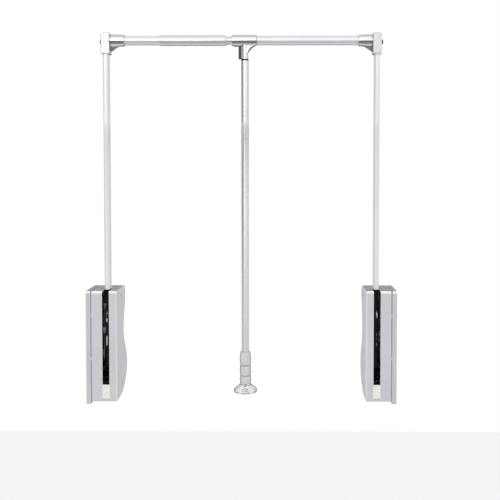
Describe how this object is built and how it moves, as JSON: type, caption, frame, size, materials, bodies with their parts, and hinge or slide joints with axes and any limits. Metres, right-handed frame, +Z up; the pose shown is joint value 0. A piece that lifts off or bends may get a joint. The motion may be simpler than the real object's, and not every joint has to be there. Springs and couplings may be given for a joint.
{
  "type": "pull-down wardrobe lift",
  "caption": "Pull-down hanging rail for a wardrobe: two wall housings, sprung swing arms, a telescopic rail and a pull handle on a swivelling tee.",
  "frame": {"origin": "left wall plane, on the swing axis of the arms", "axes": "+X along the rail from the left wall to the right wall, +Y into the wardrobe, +Z up"},
  "size_m": [0.715, 0.139, 0.857],
  "materials": {
    "housing_plastic": "satin moulded",
    "satin_aluminium": "satin anodised",
    "cast_metal": "tumbled die casting",
    "chrome": "polished",
    "black_steel": "satin black",
    "zinc_steel": "zinc plated",
    "white_rubber": "matt",
    "bush_plastic": "natural",
    "grip_plastic": "semi-gloss"
  },
  "bodies": {
    "left_housing": {"left_wall_plate": "housing_plastic", "left_housing_shell": "housing_plastic", "left_housing_cover": "housing_plastic", "left_buffer": "white_rubber", "left_mount_frame": "zinc_steel", "left_frame_cheek": "zinc_steel", "left_pivot_bolt": "zinc_steel", "left_pivot_spacer": "zinc_steel", "left_pivot_nut": "zinc_steel", "left_strut_anchor_pin": "zinc_steel", "left_lower_standoff": "zinc_steel", "left_cover_screw_upper": "zinc_steel", "left_cover_screw_lower": "zinc_steel"},
    "lift_frame": {"left_arm_lever": "black_steel", "left_pivot_bush": "bush_plastic", "left_crank_pin": "zinc_steel", "left_arm_tube": "satin_aluminium", "left_corner_fitting": "cast_metal", "left_corner_bolt": "black_steel", "left_rail_plug": "bush_plastic", "left_rail_tube": "satin_aluminium"},
    "rail_right": {"rail_sleeve": "satin_aluminium", "right_rail_tube": "satin_aluminium", "right_rail_plug": "bush_plastic", "right_corner_fitting": "cast_metal", "right_corner_bolt": "black_steel", "right_arm_tube": "satin_aluminium", "right_arm_lever": "black_steel", "right_pivot_bush": "bush_plastic", "right_crank_pin": "zinc_steel"},
    "right_housing": {"right_wall_plate": "housing_plastic", "right_housing_shell": "housing_plastic", "right_housing_cover": "housing_plastic", "right_buffer": "white_rubber", "right_mount_frame": "zinc_steel", "right_frame_cheek": "zinc_steel", "right_pivot_bolt": "zinc_steel", "right_pivot_spacer": "zinc_steel", "right_pivot_nut": "zinc_steel", "right_strut_anchor_pin": "zinc_steel", "right_lower_standoff": "zinc_steel", "right_cover_screw_upper": "zinc_steel", "right_cover_screw_lower": "zinc_steel"},
    "handle": {"handle_tee": "cast_metal", "pole_ring": "black_steel", "handle_pole": "satin_aluminium", "handle_grip": "grip_plastic", "handle_foot": "grip_plastic", "foot_screw": "zinc_steel"},
    "left_strut_body": {"left_strut_barrel": "black_steel"},
    "left_strut_plunger": {"left_strut_rod": "chrome", "left_strut_rod_eye": "black_steel"},
    "right_strut_body": {"right_strut_barrel": "black_steel"},
    "right_strut_plunger": {"right_strut_rod": "chrome", "right_strut_rod_eye": "black_steel"}
  },
  "joints": [
    {"name": "lift_swing", "type": "hinge", "parent": "left_housing", "child": "lift_frame", "pos_m": [0.0455, 0, 0], "axis": [1, 0, 0], "range_deg": [0, 123], "stiffness_Nm_per_rad": 14, "springref_deg": -28.65},
    {"name": "width_adjust", "type": "slide", "parent": "lift_frame", "child": "rail_right", "axis": [1, 0, 0], "range_m": [-0.05, 0.045]},
    {"name": "right_pivot", "type": "hinge", "parent": "rail_right", "child": "right_housing", "pos_m": [0.6695, 0, 0], "axis": [1, 0, 0], "range_deg": [-123, 0]},
    {"name": "handle_swing", "type": "hinge", "parent": "rail_right", "child": "handle", "pos_m": [0.3655, 0, 0.752], "axis": [-1, 0, 0], "range_deg": [-20, 123]},
    {"name": "left_strut_swing", "type": "hinge", "parent": "left_housing", "child": "left_strut_body", "pos_m": [0.0325, 0.026, 0.158], "axis": [1, 0, 0], "range_deg": [0, 1.5]},
    {"name": "left_strut_slide", "type": "slide", "parent": "left_strut_body", "child": "left_strut_plunger", "axis": [0, 0.0842, 0.9964], "range_m": [0, 0.0527]},
    {"name": "right_strut_swing", "type": "hinge", "parent": "right_housing", "child": "right_strut_body", "pos_m": [0.6825, 0.026, 0.158], "axis": [1, 0, 0], "range_deg": [0, 1.5]},
    {"name": "right_strut_slide", "type": "slide", "parent": "right_strut_body", "child": "right_strut_plunger", "axis": [0, 0.0842, 0.9964], "range_m": [0, 0.0527]}
  ],
  "couplings": [
    {"joint": "right_pivot", "follows": "lift_swing", "ratio": -1},
    {"joint": "left_strut_swing", "follows": "lift_swing", "ratio": 0.0117},
    {"joint": "right_strut_swing", "follows": "lift_swing", "ratio": 0.0117},
    {"joint": "left_strut_slide", "follows": "lift_swing", "m_per_rad": 0.02449},
    {"joint": "right_strut_slide", "follows": "lift_swing", "m_per_rad": 0.02449}
  ]
}
